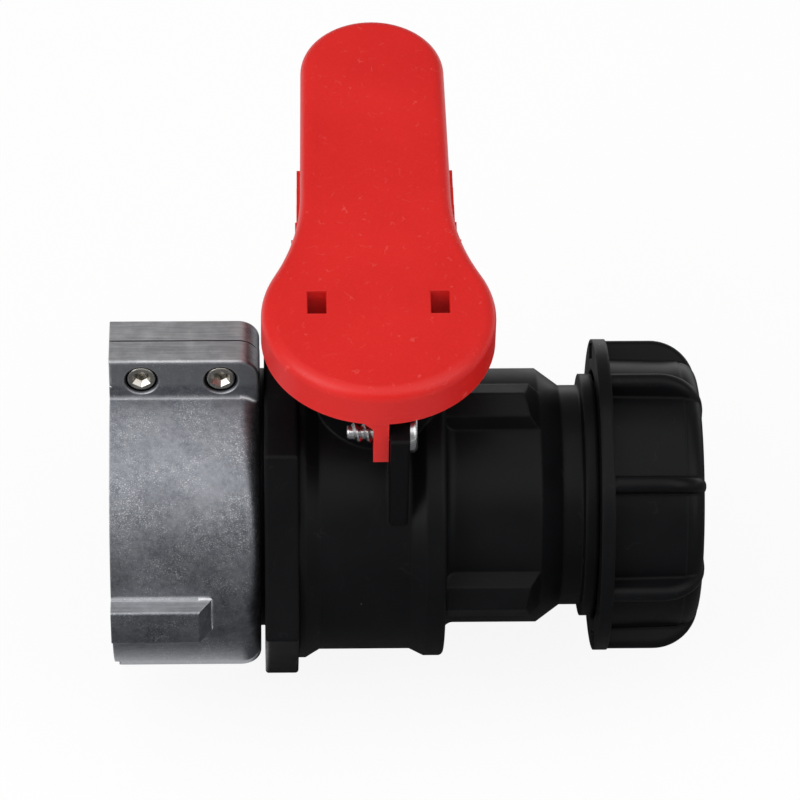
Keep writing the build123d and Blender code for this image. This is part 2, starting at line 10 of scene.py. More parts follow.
# %% Load the frame
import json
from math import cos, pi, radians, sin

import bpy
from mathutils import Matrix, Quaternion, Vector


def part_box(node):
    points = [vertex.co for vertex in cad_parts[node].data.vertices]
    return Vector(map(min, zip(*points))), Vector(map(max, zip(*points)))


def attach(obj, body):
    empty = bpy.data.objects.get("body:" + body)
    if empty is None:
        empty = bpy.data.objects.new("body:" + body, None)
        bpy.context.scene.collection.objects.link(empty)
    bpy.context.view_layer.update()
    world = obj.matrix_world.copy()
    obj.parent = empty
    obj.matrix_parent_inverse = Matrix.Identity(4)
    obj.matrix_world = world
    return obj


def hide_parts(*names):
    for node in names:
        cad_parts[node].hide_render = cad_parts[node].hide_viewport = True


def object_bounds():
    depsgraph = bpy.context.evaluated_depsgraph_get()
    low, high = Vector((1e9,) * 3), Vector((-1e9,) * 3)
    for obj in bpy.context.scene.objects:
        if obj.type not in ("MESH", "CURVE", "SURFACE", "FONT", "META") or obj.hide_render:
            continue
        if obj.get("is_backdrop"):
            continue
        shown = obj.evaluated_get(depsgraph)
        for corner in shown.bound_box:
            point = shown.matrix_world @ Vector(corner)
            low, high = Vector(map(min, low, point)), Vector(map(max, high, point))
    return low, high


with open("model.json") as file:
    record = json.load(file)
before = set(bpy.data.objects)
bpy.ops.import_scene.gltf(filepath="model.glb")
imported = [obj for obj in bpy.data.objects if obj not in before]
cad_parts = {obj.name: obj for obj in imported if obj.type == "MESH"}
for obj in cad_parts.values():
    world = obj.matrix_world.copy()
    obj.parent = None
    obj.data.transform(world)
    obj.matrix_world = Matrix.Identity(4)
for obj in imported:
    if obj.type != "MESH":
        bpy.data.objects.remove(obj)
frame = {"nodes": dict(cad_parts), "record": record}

# %% [markdown]
# The tools that the lesson needs come next. The box round the loaded model is
# kept, because the dressed model has to stay inside it. Loading leaves all
# the CAD nodes selected, so the selection is cleared at once: an operator
# works on whatever is selected, and would otherwise work on the valve. The
# helper picks one piece alone, for the operators that follow.

MM = 0.001
cad_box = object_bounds()


def pick(piece):
    bpy.ops.object.select_all(action="DESELECT")
    piece.select_set(True)
    bpy.context.view_layer.objects.active = piece


bpy.ops.object.select_all(action="DESELECT")
print("CAD box:", [tuple(round(v, 4) for v in corner) for corner in cad_box])

# %% [markdown]
# ## The camera
#
# The portrait is taken from above and in front, with a long lens, so that
# the pipe's circles stay nearly flat and the sizes near and far differ
# little. A camera can be placed by hand, but here it is placed by angles: a
# point to look at, the direction back to the camera, the distance, and a
# slight roll, since the valve lay a little askew. A lens is long or short
# only against its sensor, which is left 36 mm wide.

# %% Camera
look_at = Vector((68.7, 16.8, 15.7)) * MM
azimuth = radians(-2.35)
elevation = radians(47.2)
roll = radians(1.4)
distance = 1.1228
back = Vector((sin(azimuth) * cos(elevation), -cos(azimuth) * cos(elevation), sin(elevation)))
aim = (-back).to_track_quat("-Z", "Y") @ Quaternion((0, 0, 1), roll)

bpy.ops.object.camera_add(location=look_at + back * distance, rotation=aim.to_euler())
camera = bpy.context.object
camera.name = "portrait_camera"
camera.data.lens = 210
camera.data.sensor_width = 36
bpy.context.scene.camera = camera
print("camera at", [round(v, 3) for v in camera.location])

# %% [markdown]
# ## Floor, lamps and world
#
# A studio table is a wide pale sheet. A plane is enough for it, because the
# camera never sees its edge. The sheet is lit by the same lamps as the valve.
# For the camera, and for what metal reflects or glass lets through, most of
# its brightness is its own. That keeps the picture's ground white, while a
# soft shadow stays.

# %% Floor
MIDDLE_X = 0.07
TABLE_SIZE = 8
PAPER_TONE = (0.94, 0.94, 0.94, 1)
OWN_LIGHT = 0.9
bpy.ops.mesh.primitive_plane_add(size=TABLE_SIZE, location=(MIDDLE_X, 0, cad_box[0].z))
floor = bpy.context.object
floor.name = "studio_table"
floor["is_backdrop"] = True

paper = bpy.data.materials.new("white_paper")
paper.use_nodes = True
nodes = paper.node_tree.nodes
links = paper.node_tree.links
nodes.clear()
sheet = nodes.new("ShaderNodeBsdfDiffuse")
sheet.inputs["Color"].default_value = PAPER_TONE
glow = nodes.new("ShaderNodeEmission")
glow.inputs["Strength"].default_value = 1.0
ray = nodes.new("ShaderNodeLightPath")
seen = ray.outputs["Is Camera Ray"]
for kind in ("Is Glossy Ray", "Is Transmission Ray"):
    either = nodes.new("ShaderNodeMath")
    either.operation = "MAXIMUM"
    links.new(seen, either.inputs[0])
    links.new(ray.outputs[kind], either.inputs[1])
    seen = either.outputs[0]
share = nodes.new("ShaderNodeMath")
share.operation = "MULTIPLY"
share.inputs[1].default_value = OWN_LIGHT
links.new(seen, share.inputs[0])
mix = nodes.new("ShaderNodeMixShader")
links.new(share.outputs[0], mix.inputs[0])
links.new(sheet.outputs[0], mix.inputs[1])
links.new(glow.outputs[0], mix.inputs[2])
end = nodes.new("ShaderNodeOutputMaterial")
links.new(mix.outputs[0], end.inputs[0])
floor.data.materials.append(paper)
print("table at height", round(floor.location.z, 4))

# %% [markdown]
# Soft light comes from large lamps. Three area lamps hang around the valve:
# one on the left, a weaker one on the right, and a wide one above. The two at
# the sides light up the slopes between the pipe's steps, which lean left or
# right. They hang high, so that from other sides too the lever's flat top
# does not mirror them at a low angle. None stands behind the valve at the
# camera's own height, because every level face would then mirror it and turn
# pale. Each lamp is turned to face the valve. Together with the grey world
# they give about the light at which a colour renders as it is written.

# %% Lamps
lamps = (  # name, place and width in metres, power in watts
    ("lamp_left", (-0.8, -0.45, 0.74), 0.9, 7.5),
    ("lamp_right", (0.94, -0.45, 0.72), 0.9, 3.5),
    ("lamp_above", (0.03, -0.2, 1.22), 1.7, 8.8),
)
for name, place, size, power in lamps:
    facing = (look_at - Vector(place)).to_track_quat("-Z", "Y")
    bpy.ops.object.light_add(type="AREA", location=place, rotation=facing.to_euler())
    lamp = bpy.context.object
    lamp.name = name
    lamp.data.size = size
    lamp.data.energy = power
print(len(lamps), "lamps")

# %% [markdown]
# Bright metal shows whatever stands around it, and with white on all sides it
# looks flat. Photographers lay dark cards near the object, so that some faces
# turn dark and the edges stand out. A wide card lies in front, for the faces
# that look forward. A small one lies under the black plastic, as painted shade:
# it stands in for the valve's shadow on the table, which the table's own glow
# hides from reflections, so the underside would mirror white and turn grey.
# Each card is a plane on the table. Only reflections see it: it is hidden from
# the camera, throws no shadow and takes no light away.

# %% Dark cards
felt = bpy.data.materials.new("dark_felt")
felt.use_nodes = True
cloth = felt.node_tree.nodes["Principled BSDF"]
cloth.inputs["Base Color"].default_value = (0.13, 0.13, 0.136, 1)
cloth.inputs["Roughness"].default_value = 0.9
CARD_LIFT = 1 * MM
cards = (  # name, place and size in metres
    ("card_in_front", (MIDDLE_X, -0.64), (1.6, 1.2, 1)),
    # painted shade: this card stands in for the valve's shadow, as reflections see it
    ("shade_card_below", (0.333, 0.06), (0.6, 0.2, 1)),
)
for name, (x, y), size in cards:
    bpy.ops.mesh.primitive_plane_add(size=1, location=(x, y, cad_box[0].z + CARD_LIFT))
    card = bpy.context.object
    card.name = name
    card.scale = size
    bpy.ops.object.transform_apply(location=False)
    card.visible_camera = False
    card.visible_diffuse = False
    card.visible_shadow = False
    card.data.materials.append(felt)
    card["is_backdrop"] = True
print(len(cards), "cards")

# %% [markdown]
# The world is the room around the table. It gives an even grey light, and it
# is what the sides of the valve mirror where no lamp or table stands.

# %% World
world = bpy.data.worlds.new("studio")
world.use_nodes = True
bpy.context.scene.world = world
room = world.node_tree.nodes["Background"]
ROOM_LIGHT = 0.3
room.inputs["Color"].default_value = (1, 1, 1, 1)
room.inputs["Strength"].default_value = ROOM_LIGHT
bpy.context.scene.view_settings.view_transform = "Standard"
print("world strength", ROOM_LIGHT)

# %% [markdown]
# ## Threads
#
# Three coarse threads belong to the valve: the one that takes the tank's
# spout, inside the nut, the one on the outlet, and the one inside the cap. A
# thread is one ridge wound round a cylinder. It could be cut with a boolean,
# but winding is closer to how it is made: a small flat section is drawn
# beside the axis, and the Screw modifier carries it round and along at once.
# The section starts as a plane, and one of its edges is narrowed, so that
# the ridge is broad at its root and slim at its crest. Both ends run out
# into the wall and are closed, and the ridge, wound about Z, is laid along
# the pipe.


# %% A wound ridge
STEPS_PER_TURN = 72
SMOOTH_ANGLE = radians(35)


def wound_ridge(name, root_r, crest_r, root_width, crest_width, pitch, turns, start_x):
    bpy.ops.object.select_all(action="DESELECT")
    bpy.ops.mesh.primitive_plane_add(size=1, rotation=(pi / 2, 0, 0))
    ridge = bpy.context.object
    ridge.name = name
    ridge.scale = (abs(root_r - crest_r), root_width, 1)
    bpy.ops.object.transform_apply(location=False)
    narrow_crest(ridge, crest_r > root_r, crest_width / root_width)
    ridge.location.x = (root_r + crest_r) / 2
    bpy.ops.object.transform_apply(rotation=False, scale=False)
    screw = ridge.modifiers.new("winding", "SCREW")
    screw.axis = "Z"
    screw.angle = 2 * pi * turns
    screw.screw_offset = pitch * turns
    screw.steps = int(STEPS_PER_TURN * turns)
    screw.render_steps = screw.steps
    bpy.ops.object.modifier_apply(modifier=screw.name)
    run_out(ridge, root_r, crest_r)
    close_ends(ridge)
    ridge.rotation_euler = (0, pi / 2, 0)
    ridge.location = (start_x, 0, 0)
    bpy.ops.object.transform_apply()
    bpy.ops.object.shade_smooth_by_angle(angle=SMOOTH_ANGLE)
    return ridge


# %% [markdown]
# The helpers that the winding uses work in edit mode. Corners are chosen by
# their place, with everything deselected first. The narrowing is a resize of
# the crest's two corners along the axis. The run-out is a resize too, of the
# crest's corners in the first and last steps: the winding lays its steps down
# four corners at a time, so those are found by counting. The first step keeps
# a small share of the height, because a ridge that ends in a line would have
# faces without an area.


# %% Helpers for the ridge
SECTION_CORNERS = 4
RUN_OUT_STEPS, FIRST_SHARE = 6, 0.3


def clear_mesh(kind):
    bpy.ops.object.mode_set(mode="EDIT")
    bpy.ops.mesh.select_mode(type=kind)
    bpy.ops.mesh.select_all(action="DESELECT")
    bpy.ops.object.mode_set(mode="OBJECT")


def narrow_crest(ridge, outward, factor):
    clear_mesh("VERT")
    for corner in ridge.data.vertices:
        corner.select = (corner.co.x > 0) == outward
    bpy.ops.object.mode_set(mode="EDIT")
    bpy.ops.transform.resize(value=(1, 1, factor), center_override=(0, 0, 0))
    bpy.ops.mesh.select_all(action="SELECT")
    bpy.ops.mesh.delete(type="ONLY_FACE")
    bpy.ops.object.mode_set(mode="OBJECT")


def run_out(ridge, root_r, crest_r):
    last = len(ridge.data.vertices) // SECTION_CORNERS - 1
    middle_r = (root_r + crest_r) / 2
    for step in range(RUN_OUT_STEPS):
        low_r = root_r + (crest_r - root_r) * (step + FIRST_SHARE) / RUN_OUT_STEPS
        factor = low_r / crest_r
        clear_mesh("VERT")
        for corner in ridge.data.vertices:
            at_end = corner.index // SECTION_CORNERS in (step, last - step)
            at_crest = (corner.co.xy.length > middle_r) == (crest_r > root_r)
            corner.select = at_end and at_crest
        bpy.ops.object.mode_set(mode="EDIT")
        bpy.ops.transform.resize(value=(factor, factor, 1), center_override=(0, 0, 0))
        bpy.ops.object.mode_set(mode="OBJECT")


def close_ends(ridge):
    bpy.ops.object.mode_set(mode="EDIT")
    bpy.ops.mesh.select_all(action="SELECT")
    bpy.ops.mesh.fill_holes(sides=SECTION_CORNERS)
    bpy.ops.mesh.select_all(action="SELECT")
    bpy.ops.mesh.normals_make_consistent(inside=False)
    bpy.ops.object.mode_set(mode="OBJECT")


# %% [markdown]
# The tank's thread lines the nut's mouth. Its pitch is 6 mm, as on container
# spouts. The ridge stands on the nut's wall and points inwards.

# %% Tank thread in the nut
PITCH = 6 * MM
tank_thread = wound_ridge(
    "tank_thread",
    root_r=34.6 * MM, crest_r=31.4 * MM, root_width=4.4 * MM, crest_width=1.8 * MM,
    pitch=PITCH, turns=2.9, start_x=2.6 * MM,
)
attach(tank_thread, "nut")
print("tank thread:", len(tank_thread.data.polygons), "faces")

# %% [markdown]
# The outlet's thread points outwards, and the cap's thread runs in the
# grooves between its turns. Both have the same pitch and hand, and the cap's
# starts half a turn's rise later, so that they never touch while the cap is
# screwed off.

# %% Outlet and cap threads
outlet_thread = wound_ridge(
    "outlet_thread",
    root_r=27.3 * MM, crest_r=29.8 * MM, root_width=3.4 * MM, crest_width=1.2 * MM,
    pitch=PITCH, turns=2.6, start_x=116.4 * MM,
)
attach(outlet_thread, "valve")
cap_thread = wound_ridge(
    "cap_thread",
    root_r=30.3 * MM, crest_r=27.9 * MM, root_width=3.4 * MM, crest_width=1.2 * MM,
    pitch=PITCH, turns=1.9, start_x=119.4 * MM,
)
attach(cap_thread, "cap")
print("outlet and cap threads:", len(outlet_thread.data.polygons), len(cap_thread.data.polygons))

# %% [markdown]
# ## Clamp screws
#
# Four socket-head screws draw the nut's halves together. On the real screw
# the head is turned, its rim is broken by a small bevel, and a hexagonal
# socket is pressed into it, whose mouth is worn wide. So a cylinder is
# bevelled along its top rim, and two six-sided cutters take the socket and
# its sloping mouth out of it, by Boolean modifiers that are applied at once.


# %% Cut one shape out of another
SAME_HEIGHT = 1e-6


def cut_out(target, cutter):
    tool = target.modifiers.new("cut", "BOOLEAN")
    tool.operation = "DIFFERENCE"
    tool.object = cutter
    tool.solver = "EXACT"
    bpy.context.view_layer.objects.active = target
    bpy.ops.object.modifier_apply(modifier=tool.name)
    bpy.data.objects.remove(cutter, do_unlink=True)


def bevel_rim(piece, height, width, segments):
    pick(piece)
    clear_mesh("EDGE")
    for edge in piece.data.edges:
        ends = [piece.data.vertices[v].co for v in edge.vertices]
        edge.select = all(abs(e.z - height) < SAME_HEIGHT for e in ends)
    bpy.ops.object.mode_set(mode="EDIT")
    bpy.ops.mesh.bevel(offset=width, segments=segments, affect="EDGES")
    bpy.ops.object.mode_set(mode="OBJECT")


# %% One clamp screw, standing on its own axis
HEAD_R, HEAD_H, HEAD_BEVEL = 3.4 * MM, 3.5 * MM, 0.45 * MM
SHANK_R, SHANK_L, SHANK_BEVEL = 2.0 * MM, 11.0 * MM, 0.5 * MM
SOCKET_R, SOCKET_DEPTH = 1.4 * MM, 2.6 * MM
MOUTH_R, MOUTH_DEPTH, MOUTH_RISE = 2.7 * MM, 1.5 * MM, 0.3 * MM
bpy.ops.object.select_all(action="DESELECT")
bpy.ops.mesh.primitive_cylinder_add(
    vertices=64, radius=HEAD_R, depth=HEAD_H, location=(0, 0, -HEAD_H / 2)
)
clamp_screw = bpy.context.object
bpy.ops.object.transform_apply()
bevel_rim(clamp_screw, 0, HEAD_BEVEL, 3)
bpy.ops.mesh.primitive_cylinder_add(vertices=6, radius=SOCKET_R, depth=2 * SOCKET_DEPTH)
cut_out(clamp_screw, bpy.context.object)
bpy.ops.mesh.primitive_cone_add(
    vertices=6, radius1=SOCKET_R, radius2=MOUTH_R, depth=MOUTH_DEPTH,
    location=(0, 0, MOUTH_RISE - MOUTH_DEPTH / 2),
)
cut_out(clamp_screw, bpy.context.object)
bpy.ops.object.select_all(action="DESELECT")
bpy.ops.mesh.primitive_cylinder_add(
    vertices=48, radius=SHANK_R, depth=SHANK_L, location=(0, 0, -HEAD_H - SHANK_L / 2)
)
shank = bpy.context.object
bpy.ops.object.transform_apply()
bevel_rim(shank, -HEAD_H - SHANK_L, SHANK_BEVEL, 1)
clamp_screw.select_set(True)
bpy.context.view_layer.objects.active = clamp_screw
bpy.ops.object.join()
bpy.ops.object.shade_smooth_by_angle(angle=SMOOTH_ANGLE)
print("one clamp screw:", len(clamp_screw.data.polygons), "faces")

# %% [markdown]
# The screw is copied to its four places, two above and two below. The nut is
# turned a little about the pipe, so the places are given as if it stood
# upright and then turned with it. Each copy has its own mesh. The four are
# joined, because the CAD model treats them as one piece too.

# %% Four clamp screws in the nut
NUT_TURN = radians(-5.5)
upright = Quaternion((1, 0, 0), pi / 2)
turned = Quaternion((1, 0, 0), NUT_TURN)
CLAMP_X, CLAMP_Y, CLAMP_Z = (7.5 * MM, 26.0 * MM), -7.0 * MM, 43.9 * MM
places = [(x, CLAMP_Y, z) for x in CLAMP_X for z in (CLAMP_Z, -CLAMP_Z)]
copies = []
for place in places:
    pick(clamp_screw)
    bpy.ops.object.duplicate(linked=False)
    copy = bpy.context.object
    copy.location = turned @ Vector(place)
    copy.rotation_euler = (turned @ upright).to_euler()
    bpy.ops.object.transform_apply()
    copies.append(copy)
bpy.data.objects.remove(clamp_screw, do_unlink=True)
clamp_set = copies[0]
pick(clamp_set)
for copy in copies:
    copy.select_set(True)
bpy.ops.object.join()
clamp_set.name = "socket_head_screws"
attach(clamp_set, "nut")
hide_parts("clamp_screws")
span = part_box("clamp_screws")
print("clamp screws span", [tuple(round(v, 4) for v in corner) for corner in span])

# %% [markdown]
# ## The safety screw
#
# A bright screw goes through the lever's tab into the fin. Only its threaded
# end and the edge of its flat pan head show from the front. The CAD model has
# plain cylinders for it, so it is replaced by a real screw: a slim core with
# a blunt end, a ridge wound round it, and a domed head with a cross pressed
# into it. The core is a cylinder whose end is bevelled in edit mode.

# %% Core of the safety screw
SCREW_FRONT, SCREW_Z = -22.0 * MM, 46.8 * MM
screw_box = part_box("safety_screw")
TIP_X, HEAD_X = screw_box[0].x, screw_box[1].x
PAN_T = 1.8 * MM
SEAT_X = HEAD_X - PAN_T
CORE_R, TIP_BEVEL = 1.65 * MM, 0.5 * MM
length = SEAT_X - TIP_X
bpy.ops.object.select_all(action="DESELECT")
bpy.ops.mesh.primitive_cylinder_add(
    vertices=48, radius=CORE_R, depth=length, location=(0, 0, length / 2)
)
core = bpy.context.object
bpy.ops.object.transform_apply()
bevel_rim(core, 0, TIP_BEVEL, 3)
core.rotation_euler = (0, pi / 2, 0)
core.location = (TIP_X, 0, 0)
bpy.ops.object.transform_apply()
print("core length", round(length / MM, 1), "mm")

# %% [markdown]
# The ridge is wound as the pipe threads were, but finer. It starts at the
# blunt end and runs up to the head. The wound ridge lies along X already, as
# the core does, and the two are joined with the head later.

# %% Ridge of the safety screw
RIDGE_PITCH = 2.3 * MM
RIDGE_START, RIDGE_ROOM = 0.95 * MM, 1.6 * MM
ridge_turns = (length - RIDGE_ROOM) / RIDGE_PITCH
ridge = wound_ridge(
    "screw_ridge",
    root_r=1.55 * MM, crest_r=2.3 * MM, root_width=1.9 * MM, crest_width=0.45 * MM,
    pitch=RIDGE_PITCH, turns=ridge_turns, start_x=TIP_X + RIDGE_START,
)
print("ridge turns", round(ridge_turns, 1))

# %% [markdown]
# The head is a thin cylinder with a widely bevelled rim. Two bars, laid across
# each other, cut the cross. Then head, core and ridge are joined and moved to
# the screw's own axis.

# %% Pan head with a cross
PAN_R, PAN_BEVEL = 4.8 * MM, 1.2 * MM
CROSS_BAR = (4.6 * MM, 1.0 * MM, 2.4 * MM)
bpy.ops.object.select_all(action="DESELECT")
bpy.ops.mesh.primitive_cylinder_add(
    vertices=64, radius=PAN_R, depth=PAN_T, location=(0, 0, PAN_T / 2)
)
head = bpy.context.object
bpy.ops.object.transform_apply()
bevel_rim(head, PAN_T, PAN_BEVEL, 6)
for turn in (0, pi / 2):
    bpy.ops.mesh.primitive_cube_add(size=1, location=(0, 0, PAN_T), rotation=(0, 0, turn))
    bar = bpy.context.object
    bar.scale = CROSS_BAR
    cut_out(head, bar)
pick(head)
head.rotation_euler = (0, pi / 2, 0)
head.location = (SEAT_X, 0, 0)
bpy.ops.object.transform_apply()
for piece in (core, ridge):
    piece.select_set(True)
bpy.ops.object.join()
safety_screw = bpy.context.object
safety_screw.name = "lock_screw_detail"
safety_screw.location = (0, SCREW_FRONT, SCREW_Z)
bpy.ops.object.transform_apply()
bpy.ops.object.shade_smooth_by_angle(angle=radians(30))
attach(safety_screw, "lock_screw")
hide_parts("safety_screw")
print("safety screw:", len(safety_screw.data.polygons), "faces")

# %% [markdown]
# ## Finishes
#
# Every finish is a small tree of nodes on the piece's Object coordinates, so
# a pattern has its size in metres and stays on the piece when it moves. The
# helpers below add a node with its values, a noise of a given grain in
# millimetres, and a ramp between two numbers. A grain of one millimetre is a
# noise scale of about a thousand, since the scale counts waves in a metre.


# %% Helpers for finishes
def add(tree, kind, **values):
    node = tree.nodes.new(kind)
    for key, value in values.items():
        setattr(node, key, value)
    return node


def start_finish(name):
    material = bpy.data.materials.new(name)
    material.use_nodes = True
    tree = material.node_tree
    return material, tree, tree.nodes["Principled BSDF"], add(tree, "ShaderNodeTexCoord")


def noise(tree, place, grain, detail=3.0, roughness=0.55, stretch=None):
    node = add(tree, "ShaderNodeTexNoise")
    node.inputs["Scale"].default_value = 1 / (grain * MM)
    node.inputs["Detail"].default_value = detail
    node.inputs["Roughness"].default_value = roughness
    source = place.outputs["Object"]
    if stretch:
        mapping = add(tree, "ShaderNodeMapping")
        mapping.inputs["Scale"].default_value = stretch
        tree.links.new(source, mapping.inputs["Vector"])
        source = mapping.outputs["Vector"]
    tree.links.new(source, node.inputs["Vector"])
    return node.outputs["Fac"]


def between(tree, factor, low, high, start=0.0, stop=1.0):
    node = add(tree, "ShaderNodeMapRange")
    node.inputs["From Min"].default_value = start
    node.inputs["From Max"].default_value = stop
    node.inputs["To Min"].default_value = low
    node.inputs["To Max"].default_value = high
    tree.links.new(factor, node.inputs["Value"])
    return node.outputs["Result"]


def blend_colours(tree, factor, first, second):
    node = add(tree, "ShaderNodeMix", data_type="RGBA")
    colours = [s for s in node.inputs if s.type == "RGBA"]
    for socket, colour in zip(colours, (first, second)):
        if isinstance(colour, tuple):
            socket.default_value = (*colour, 1)
        else:
            tree.links.new(colour, socket)
    tree.links.new(factor, node.inputs[0])
    return [s for s in node.outputs if s.type == "RGBA"][0]


# %% [markdown]
# More helpers draw what handling leaves behind, and where light is painted.
# Nicks are the thin contour lines of a soft noise, kept only where a second
# noise is high, so they stay short. An edge mask compares the true normal with
# one that is rounded over a small radius, so it is bright only near edges. It
# carries edge wear, where castings are worn bright by use, and painted edge
# highlights. A corner mask is bright in hollows, where light and cloth hardly
# reach; it carries painted shade and a painted highlight. A bump turns a grey
# pattern into relief of a given depth.


# %% Helpers for wear and painted light
def nicks(tree, place, spacing, width):
    wander = noise(tree, place, spacing, detail=2.0, roughness=0.4)
    off = both(tree, wander, 0.5, "SUBTRACT")
    size = add(tree, "ShaderNodeMath", operation="ABSOLUTE")
    tree.links.new(off, size.inputs[0])
    line = between(tree, size.outputs[0], 1.0, 0.0, 0.0, width)
    patches = noise(tree, place, spacing * 0.45, detail=1.0)
    return both(tree, line, between(tree, patches, 0.0, 1.0, 0.56, 0.62))


def softened(tree, radius):
    rounded = add(tree, "ShaderNodeBevel", samples=4)
    rounded.inputs["Radius"].default_value = radius * MM
    return rounded.outputs["Normal"]


def edges(tree, radius):
    surface = add(tree, "ShaderNodeNewGeometry")
    dot = add(tree, "ShaderNodeVectorMath", operation="DOT_PRODUCT")
    tree.links.new(softened(tree, radius), dot.inputs[0])
    tree.links.new(surface.outputs["Normal"], dot.inputs[1])
    return between(tree, dot.outputs["Value"], 1.0, 0.0, 0.8, 0.99)


def corners(tree, reach):
    shelter = add(tree, "ShaderNodeAmbientOcclusion", samples=8, only_local=True)
    shelter.inputs["Distance"].default_value = reach * MM
    return between(tree, shelter.outputs["AO"], 1.0, 0.0, 0.15, 0.85)


def relief(tree, pattern, depth, strength=1.0, onto=None):
    bump = add(tree, "ShaderNodeBump")
    bump.inputs["Distance"].default_value = depth * MM
    bump.inputs["Strength"].default_value = strength
    tree.links.new(pattern, bump.inputs["Height"])
    if onto:
        tree.links.new(onto, bump.inputs["Normal"])
    return bump.outputs["Normal"]


def both(tree, first, second, operation="MULTIPLY"):
    node = add(tree, "ShaderNodeMath", operation=operation)
    for socket, value in zip(node.inputs, (first, second)):
        if isinstance(value, float):
            socket.default_value = value
        else:
            tree.links.new(value, socket)
    return node.outputs[0]


# %% [markdown]
# ** Cast aluminium.** The nut is a die casting, tumbled and then handled. It
# is a cool dark grey with cloudy patches, and short nicks and a fine sparkle
# that gather where it was knocked most. Its edges are painted brighter, partly
# as wear and partly as a painted highlight. In the hollows at the lugs' roots
# a white line is painted, which is not metal: a painted highlight. The screw
# holes are painted dark inside, as painted shade, and the clamp lugs' front
# faces are painted paler, as a painted sheen. The tops of the lugs were
# ground, which left brushing along the pipe. Two masks find them, in
# coordinates that are turned with the lugs: the clamp lugs' tops lie furthest
# from the axis, and the wrench lugs' tops are level faces near its height.

# %% Where the lugs were ground
casting, tree, shader, place = start_finish("cast_aluminium")


def along_lugs(output):
    mapping = add(tree, "ShaderNodeMapping")
    mapping.inputs["Rotation"].default_value = (-NUT_TURN, 0, 0)
    tree.links.new(place.outputs[output], mapping.inputs["Vector"])
    axes = add(tree, "ShaderNodeSeparateXYZ")
    tree.links.new(mapping.outputs["Vector"], axes.inputs["Vector"])
    height = add(tree, "ShaderNodeMath", operation="ABSOLUTE")
    tree.links.new(axes.outputs["Z"], height.inputs[0])
    return axes.outputs["X"], axes.outputs["Y"], height.outputs[0]


LUG_TOP, WRENCH_TOP = 49.7 * MM, 13 * MM
along, across, height = along_lugs("Object")
_, forward, upward = along_lugs("Normal")
clamp_tops = between(tree, height, 0.0, 1.0, LUG_TOP - 0.5 * MM, LUG_TOP - 0.1 * MM)
level = between(tree, upward, 0.0, 1.0, 0.9, 0.97)
wrench_tops = both(tree, level, between(tree, height, 1.0, 0.0, WRENCH_TOP, WRENCH_TOP + MM))
ground = both(tree, clamp_tops, both(tree, wrench_tops, 0.75), "MAXIMUM")
print("lug tops at", round(LUG_TOP / MM, 1), "mm")

# %% [markdown]
# The four screw holes are painted dark inside, as painted shade, in the front
# half only. Their axes run across the lugs, so the distance to an axis needs
# only the place along the pipe and the height.

# %% Painted shade in the screw holes
HOLE_R = 4.0 * MM
spot = add(tree, "ShaderNodeCombineXYZ")
tree.links.new(along, spot.inputs["X"])
tree.links.new(height, spot.inputs["Z"])
away = []
for hole_x in CLAMP_X:
    gap = add(tree, "ShaderNodeVectorMath", operation="DISTANCE")
    gap.inputs[1].default_value = (hole_x, 0, CLAMP_Z)
    tree.links.new(spot.outputs["Vector"], gap.inputs[0])
    away.append(gap.outputs["Value"])
nearest = both(tree, *away, "MINIMUM")
# painted shade: the inside of each screw hole is painted dark
hole_shade_mask = between(tree, nearest, 1.0, 0.0, HOLE_R - 0.15 * MM, HOLE_R)
hole_shade_mask = both(tree, hole_shade_mask, between(tree, across, 1.0, 0.0, -MM, 0.0))
print(len(away), "holes above and as many below")

# %% [markdown]
# The patterns come first, from coarse clouds to the finest sparkle, and then
# the colours are laid over one another, from the plain casting up to the
# painted shade in the screw holes.

# %% Patterns of the casting
clouds = noise(tree, place, grain=14, detail=4)
mottle = noise(tree, place, grain=1.6, detail=5, roughness=0.7)
sparkle = noise(tree, place, grain=0.3, detail=2, roughness=0.6)
knocks = between(tree, noise(tree, place, grain=9, detail=3), 0.25, 1.0, 0.42, 0.6)
brushing = noise(tree, place, grain=0.8, detail=3, stretch=(0.07, 1.6, 1.6))
smears = between(tree, noise(tree, place, grain=5, detail=4), 0.0, 0.5, 0.4, 0.7)
cloudy = between(tree, clouds, 0.0, 0.5, 0.3, 0.7)
mottled = between(tree, mottle, 0.0, 0.6, 0.32, 0.68)
shade = both(tree, cloudy, mottled, "ADD")
flakes = both(tree, between(tree, sparkle, 0.0, 0.75, 0.54, 0.72), knocks)
brushed = both(tree, between(tree, brushing, 0.0, 0.6, 0.3, 0.7), smears, "ADD")
facing_front = between(tree, forward, 1.0, 0.0, -0.97, -0.85)
# painted sheen: the clamp lugs' front faces are painted paler, standing in for the light they catch
front_sheen = both(tree, between(tree, height, 0.0, 0.6, 41.5 * MM, 43 * MM), facing_front)
scratches = both(tree, nicks(tree, place, 3, 0.012), knocks)
# painted highlight: a white line in the hollows at the lugs' roots; the edges add wear and a
# painted edge highlight
root_highlight = between(tree, corners(tree, 1.8), 0.0, 1.0, 0.1, 0.25)
root_highlight_and_edge_wear = both(tree, root_highlight, both(tree, edges(tree, 0.6), 0.6), "MAXIMUM")
print("patterns:", len(tree.nodes), "nodes")

# %% Cast aluminium
CAST_DARK, CAST_LIGHT, FLAKE = (0.13, 0.138, 0.158), (0.32, 0.332, 0.36), (0.8, 0.81, 0.83)
GROUND_DARK, GROUND_LIGHT = (0.36, 0.365, 0.38), (0.68, 0.685, 0.7)
# painted light: the pale front colour is a painted sheen and the white a painted highlight; the
# scratch colour is wear
FRONT_SHEEN, SCRATCH, WEAR_AND_HIGHLIGHT_WHITE = (0.46, 0.47, 0.49), (0.85, 0.85, 0.86), (0.9, 0.9, 0.92)
HOLE_SHADE = (0.03, 0.03, 0.032)
cast_tone = blend_colours(tree, shade, CAST_DARK, CAST_LIGHT)
cast_tone = blend_colours(tree, flakes, cast_tone, FLAKE)
